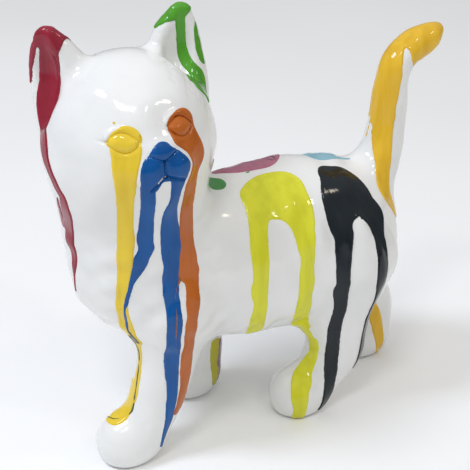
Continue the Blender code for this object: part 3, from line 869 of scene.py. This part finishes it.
def hand_relief(points):
    """Soft dents and folds left by the maker's hand, flattened out on the soles."""
    x, y, z = points.T
    on_chest = fade(z, *CHEST_TOP) * fade(z, *CHEST_FOOT) * fade(y, *CHEST_BACK)
    on_flank = fade(np.abs(x), *FLANK_SIDE) * fade(y, *FLANK_FRONT)
    on_flank = on_flank * fade(z, *FLANK_FOOT) * fade(z, *FLANK_TOP)
    spared = DENT_SPARED * np.maximum(fade(z, *EARS_FOOT), fade(z, *LEGS_TOP))
    relief = DENT_DEPTH * ripple(points, DENT_SIZE, SEEDS["dents"]) * (1 - spared)
    relief += CHEST_DENT_DEPTH * ripple(points, CHEST_DENT_SIZE, SEEDS["chest"]) * on_chest
    relief += FOLD_DEPTH * ripple(points / (1, 1, FOLD_STRETCH), FOLD_SIZE, SEEDS["folds"]) * on_flank
    for side, depth, joints in GROOVES:
        across, up, room = seen_from(points, side)
        inside = np.minimum(band(across, up, joints), room)
        relief -= depth * fade(inside, 0, joints[0][2])
    return relief * fade(z, *ABOVE_SOLE)


def band(across, up, joints):
    """How far inside a tapering band each place lies, negative outside."""
    rows = smooth_sections([(a, u, 0, r) for a, u, r in joints])[:, [0, 1, 3]]
    best = np.full(len(across), -FAR)
    for (a0, u0, r0), (a1, u1, r1) in zip(rows[:-1], rows[1:]):
        da, du = a1 - a0, u1 - u0
        t = np.clip(((across - a0) * da + (up - u0) * du) / (da * da + du * du), 0.0, 1.0)
        gap = np.hypot(across - a0 - t * da, up - u0 - t * du)
        best = np.maximum(best, r0 + (r1 - r0) * t - gap)
    return best


def seen_from(points, side):
    """Each point's place across and up as seen from a side, and how far inside its depth limits it is."""
    azimuth, elevation = np.radians(side[:2])
    across = points[:, 0] * np.cos(azimuth) + points[:, 1] * np.sin(azimuth)
    depth = points[:, 0] * np.sin(azimuth) - points[:, 1] * np.cos(azimuth)
    up = points[:, 2] * np.cos(elevation) - depth * np.sin(elevation)
    return across, up, np.minimum(depth - side[2], side[3] - depth)


def paint_depth(points, runs, gaps):
    """How far inside the painted area each point lies."""
    inside = np.full(len(points), -FAR)
    for side, joints in runs:
        across, up, room = seen_from(points, side)
        inside = blend_max(inside, np.minimum(band(across, up, joints), room), DRIP_BLEND)
    for side, joints in gaps:
        across, up, _ = seen_from(points, side)
        inside = blend_min(inside, -band(across, up, joints), DRIP_BLEND)
    inside = inside + WANDER * ripple(points, WANDER_SIZE, SEEDS["wander"])
    inside = inside + FINE_WANDER * ripple(points, FINE_WANDER_SIZE, SEEDS["fine wander"])
    return np.minimum(inside, points[:, 2] - SOLE - SOLE_CLEARANCE)


def mesh_arrays(data):
    data.calc_loop_triangles()
    points = np.empty(len(data.vertices) * 3)
    data.vertices.foreach_get("co", points)
    faces = np.empty(len(data.loop_triangles) * 3, int)
    data.loop_triangles.foreach_get("vertices", faces)
    return points.reshape(-1, 3), faces.reshape(-1, 3)


def picked(points, faces, keep):
    """The kept faces and only the points they use."""
    used, numbers = np.unique(faces[keep], return_inverse=True)
    return points[used], numbers.reshape(-1, 3)


def split_once(points, faces, marked, grain):
    """Halves the edges that have a marked end and are longer than the grain."""
    ends = np.sort(faces[:, [[0, 1], [1, 2], [2, 0]]].reshape(-1, 2), axis=1)
    edges, sides = np.unique(ends, axis=0, return_inverse=True)
    sides = sides.reshape(-1, 3)
    length = np.linalg.norm(points[edges[:, 0]] - points[edges[:, 1]], axis=1)
    halved = marked(points)[edges].any(1) & (length > grain)
    two_sided = halved[sides].sum(1) == 2
    while two_sided.any():
        halved[sides[two_sided]] = True
        two_sided = halved[sides].sum(1) == 2
    middles = (np.cumsum(halved) - 1 + len(points))[sides]
    count = halved[sides].sum(1)
    whole = count == 3
    (a, b, c), (ab, bc, ca) = faces[whole].T, middles[whole].T
    quarters = [(a, ab, ca), (ab, b, bc), (ca, bc, c), (ab, bc, ca)]
    single = np.where(count == 1)[0]
    first = halved[sides[single]].argmax(1)
    a, b, c = faces[single[:, None], (first[:, None] + np.arange(3)) % 3].T
    middle = middles[single, first]
    halves = [(a, middle, c), (middle, b, c)]
    rows = [faces[count == 0]] + [np.stack(corners, 1) for corners in quarters + halves]
    return np.vstack([points, points[edges[halved]].mean(1)]), np.vstack(rows)


def refined(points, faces, marked):
    for _ in range(2):
        points, faces = split_once(points, faces, marked, FINE_GRAIN)
    return points, faces


def near_features(points):
    """Marks the eyes, nose and mouth."""
    local = (points - HEAD_CENTRE) @ HEAD
    low, high = FEATURES_BOX
    return ((local > low) & (local < high)).all(1)


def true_depth(points, faces, inside):
    """Turns the depth as seen from the side into depth along the surface."""
    steepest = np.full(len(points), LEAST_SEEN)
    for a, b in ((0, 1), (1, 2), (2, 0)):
        start, end = faces[:, a], faces[:, b]
        length = np.linalg.norm(points[start] - points[end], axis=1)
        steep = np.abs(inside[start] - inside[end]) / np.maximum(length, 1e-6)
        np.maximum.at(steepest, start, steep)
        np.maximum.at(steepest, end, steep)
    return inside / np.minimum(steepest, 1.0)


def drip_height(inside, thickness):
    """Rounded shoulder of a drip with a faint rim, sunk under the glaze outside its outline."""
    u = np.clip(inside / DRIP_EDGE, 0.0, 1.0)
    proud = thickness * np.sqrt(1 - (1 - u) ** 2) + DRIP_RIM * bell(inside - RIM_AT, RIM_WIDTH) * u
    return np.where(inside > 0, proud, np.maximum(inside, -DRIP_SUNK))


def rim_edges(faces):
    """Edges with a face on one side only, running as that face does."""
    edges = faces[:, [[0, 1], [1, 2], [2, 0]]].reshape(-1, 2)
    _, first, count = np.unique(np.sort(edges, axis=1), axis=0, return_index=True, return_counts=True)
    return edges[first[count == 1]]


def closed_shell(outer, inner, faces):
    """Outer and inner sheet joined along their rim."""
    count = len(outer)
    a, b = rim_edges(faces).T
    sides = np.stack([b, a, a + count, b + count], 1)
    return np.vstack([outer, inner]), faces.tolist() + (faces[:, ::-1] + count).tolist() + sides.tolist()


def drip_shell(points, faces, runs, gaps, thickness):
    """One colour's closed shell: its upper sheet stands proud of the glaze and dips under it at the edge."""
    wide = (paint_depth(points, runs, gaps)[faces] > -ROUND_EDGE).any(1)
    points, faces = picked(points, faces, wide)
    points, faces = refined(points, faces, lambda places: np.abs(paint_depth(places, runs, gaps)) < NEAR_EDGE)
    points, normals = settle(points, 1)
    inside = true_depth(points, faces, paint_depth(points, runs, gaps))
    keep = (inside[faces] > -2 * DRIP_SUNK).any(1)
    for _ in range(3):
        crossed = np.bincount(rim_edges(faces[keep]).ravel(), minlength=len(points)) > 2
        keep |= crossed[faces].any(1)
    used, faces = np.unique(faces[keep], return_inverse=True)
    points, normals, inside, faces = points[used], normals[used], inside[used], faces.reshape(-1, 3)
    relief = hand_relief(points)
    outer = points + normals * (relief + drip_height(inside, thickness))[:, None]
    inner = points + normals * (relief - DRIP_BACK)[:, None]
    return closed_shell(outer, inner, faces)


def made_piece(name, points, faces, material):
    data = bpy.data.meshes.new(name)
    data.from_pydata(points.tolist(), [], faces)
    data.materials.append(material)
    data.shade_smooth()
    piece = bpy.data.objects.new(name, data)
    bpy.context.scene.collection.objects.link(piece)
    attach(piece, "root")
    return piece


def fine_skin():
    """The cat's unmarked skin as points, outward normals and triangles."""
    data = bpy.data.meshes.new("block_out")
    block = block_out()
    block.to_mesh(data)
    block.free()
    draft = bpy.data.objects.new("block_out", data)
    bpy.context.scene.collection.objects.link(draft)
    put_points(draft, settle(remeshed(draft, BLOCK_VOXEL), 5)[0])
    put_points(draft, settle(remeshed(draft, SKIN_VOXEL), 3)[0])
    points, triangles = mesh_arrays(draft.data)
    bpy.data.objects.remove(draft)
    points, triangles = refined(points, triangles, near_features)
    points, normals = settle(points, 2)
    points[points[:, 2] < SOLE + SOLE_SNAP, 2] = SOLE
    return points, normals, triangles


def fitted(points, low, high):
    """From the sculpting frame's millimetres into the frame's box, in metres."""
    return cad_low + (points - low) * (cad_high - cad_low) / (high - low)


def tone(colour):
    """A display colour such as #RRGGBB as linear red, green, blue and alpha."""
    parts = [int(colour[i : i + 2], 16) / 255 for i in (1, 3, 5)]
    return [c / 12.92 if c <= 0.04045 else ((c + 0.055) / 1.055) ** 2.4 for c in parts] + [1.0]


def link_noise(tree, scale, detail, stretch=(1, 1, 1)):
    """Noise in object space, stretched by scaling its coordinates."""
    place = tree.nodes.new("ShaderNodeTexCoord")
    mapping = tree.nodes.new("ShaderNodeMapping")
    mapping.inputs["Scale"].default_value = stretch
    noise = tree.nodes.new("ShaderNodeTexNoise")
    noise.inputs["Scale"].default_value = scale
    noise.inputs["Detail"].default_value = detail
    tree.links.new(place.outputs["Object"], mapping.inputs["Vector"])
    tree.links.new(mapping.outputs["Vector"], noise.inputs["Vector"])
    return noise.outputs["Fac"]


def link_ramp(tree, value, tones):
    """A colour ramp through tones of (position, display colour)."""
    stops = [(position, tone(colour)) for position, colour in tones]
    ramp = tree.nodes.new("ShaderNodeValToRGB")
    elements = ramp.color_ramp.elements
    elements[0].position, elements[0].color = stops[0]
    elements[1].position, elements[1].color = stops[-1]
    for position, colour in stops[1:-1]:
        elements.new(position).color = colour
    tree.links.new(value, ramp.inputs["Fac"])
    return ramp.outputs["Color"]


def link_range(tree, value, low, high):
    span = tree.nodes.new("ShaderNodeMapRange")
    span.inputs["To Min"].default_value = low
    span.inputs["To Max"].default_value = high
    tree.links.new(value, span.inputs["Value"])
    return span.outputs["Result"]


def link_bumps(tree, layers):
    """Stacks bumps of (height, strength, distance) and gives the last normal."""
    normal = None
    for height, strength, distance in layers:
        bump = tree.nodes.new("ShaderNodeBump")
        bump.inputs["Strength"].default_value = strength
        bump.inputs["Distance"].default_value = distance
        tree.links.new(height, bump.inputs["Height"])
        if normal is not None:
            tree.links.new(normal, bump.inputs["Normal"])
        normal = bump.outputs["Normal"]
    return normal


def new_material(name):
    material = bpy.data.materials.new(name)
    material.use_nodes = True
    tree = material.node_tree
    return material, tree, tree.nodes["Principled BSDF"]


def glaze_material():
    """Thick white glaze: faint clouding, uneven gloss, orange peel."""
    material, tree, shader = new_material("white_glaze")
    cloud = link_noise(tree, *GLAZE_CLOUD)
    tint = link_ramp(tree, cloud, GLAZE_TONES)
    tree.links.new(tint, shader.inputs["Base Color"])
    tree.links.new(link_range(tree, cloud, *GLAZE_ROUGHNESS), shader.inputs["Roughness"])
    peel = link_noise(tree, *GLAZE_PEEL)
    swell = link_noise(tree, *GLAZE_SWELL)
    normal = link_bumps(tree, [(swell, *GLAZE_SWELL_BUMP), (peel, *PEEL_BUMP)])
    tree.links.new(normal, shader.inputs["Normal"])
    shader.inputs["IOR"].default_value = GLAZE_IOR
    return material


def enamel_material(name, colour, deep):
    """Poured enamel: long streaks down the run, a level gloss, fine peel."""
    material, tree, shader = new_material(name)
    streak = link_noise(tree, *ENAMEL_STREAK)
    tint = link_ramp(tree, streak, zip(ENAMEL_STOPS, (deep, colour)))
    tree.links.new(tint, shader.inputs["Base Color"])
    tree.links.new(link_range(tree, streak, *ENAMEL_ROUGHNESS), shader.inputs["Roughness"])
    peel = link_noise(tree, *ENAMEL_PEEL)
    swell = link_noise(tree, *ENAMEL_SWELL)
    normal = link_bumps(tree, [(swell, *ENAMEL_SWELL_BUMP), (peel, *PEEL_BUMP)])
    tree.links.new(normal, shader.inputs["Normal"])
    shader.inputs["IOR"].default_value = ENAMEL_IOR
    return material


def floor_and_sky():
    bpy.ops.mesh.primitive_plane_add(size=FLOOR_SIZE, location=(0, 0, 0))
    floor = bpy.context.object
    floor.name = "floor"
    material, tree, shader = new_material("floor")
    shade = link_ramp(tree, link_noise(tree, *FLOOR_CLOUD), FLOOR_TONES)
    tree.links.new(shade, shader.inputs["Base Color"])
    shader.inputs["Roughness"].default_value = FLOOR_ROUGHNESS
    floor.data.materials.append(material)
    bpy.context.scene.view_settings.view_transform = "Standard"
    world = bpy.data.worlds.new("studio")
    bpy.context.scene.world = world
    world.use_nodes = True
    tree = world.node_tree
    place = tree.nodes.new("ShaderNodeTexCoord")
    height = tree.nodes.new("ShaderNodeSeparateXYZ")
    tree.links.new(place.outputs["Generated"], height.inputs["Vector"])
    sky = link_ramp(tree, height.outputs["Z"], SKY_TONES)
    tree.links.new(sky, tree.nodes["Background"].inputs["Color"])
    tree.nodes["Background"].inputs["Strength"].default_value = SKY_STRENGTH


def softbox(name, azimuth, elevation, distance, size, power, colour, target):
    """A rectangular light on a sphere round the cat, aimed at the target."""
    way = Vector(towards(azimuth, elevation))
    data = bpy.data.lights.new(name, "AREA")
    data.shape = "RECTANGLE"
    data.size, data.size_y = size
    data.energy = power
    data.color = tone(colour)[:3]
    light = bpy.data.objects.new(name, data)
    light.location = Vector(target) + way * distance
    light.rotation_euler = way.to_track_quat("Z", "Y").to_euler()
    bpy.context.scene.collection.objects.link(light)


def camera_at(low, high):
    """The photograph's view, carried from the sculpting frame into the frame's."""
    back = towards(VIEW_AZIMUTH, VIEW_ELEVATION)
    target = fitted(np.array(VIEW_TARGET, float), low, high)
    place = fitted(np.array(VIEW_TARGET) + back * VIEW_DISTANCE, low, high)
    data = bpy.data.cameras.new("camera")
    data.sensor_width = SENSOR
    data.lens = SENSOR * VIEW_ZOOM
    camera = bpy.data.objects.new("camera", data)
    camera.location = place
    camera.rotation_euler = Vector(place - target).to_track_quat("Z", "Y").to_euler()
    bpy.context.scene.collection.objects.link(camera)
    bpy.context.scene.camera = camera
    return target


def main():
    points, normals, triangles = fine_skin()
    skin = points + normals * hand_relief(points)[:, None]
    clouds = [("cat_body", skin, triangles.tolist(), glaze_material())]
    for name, runs, gaps, thickness, colour, deep in ENAMELS:
        shell, faces = drip_shell(points, triangles, runs, gaps, thickness)
        clouds.append((name, shell, faces, enamel_material(name, colour, deep)))
    low = np.min([cloud[1].min(0) for cloud in clouds], axis=0)
    high = np.max([cloud[1].max(0) for cloud in clouds], axis=0)
    for name, cloud, faces, material in clouds:
        made_piece(name, fitted(cloud, low, high), faces, material)
    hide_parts("cat")
    target = camera_at(low, high)
    floor_and_sky()
    for box in SOFTBOXES:
        softbox(*box, target=target)


main()
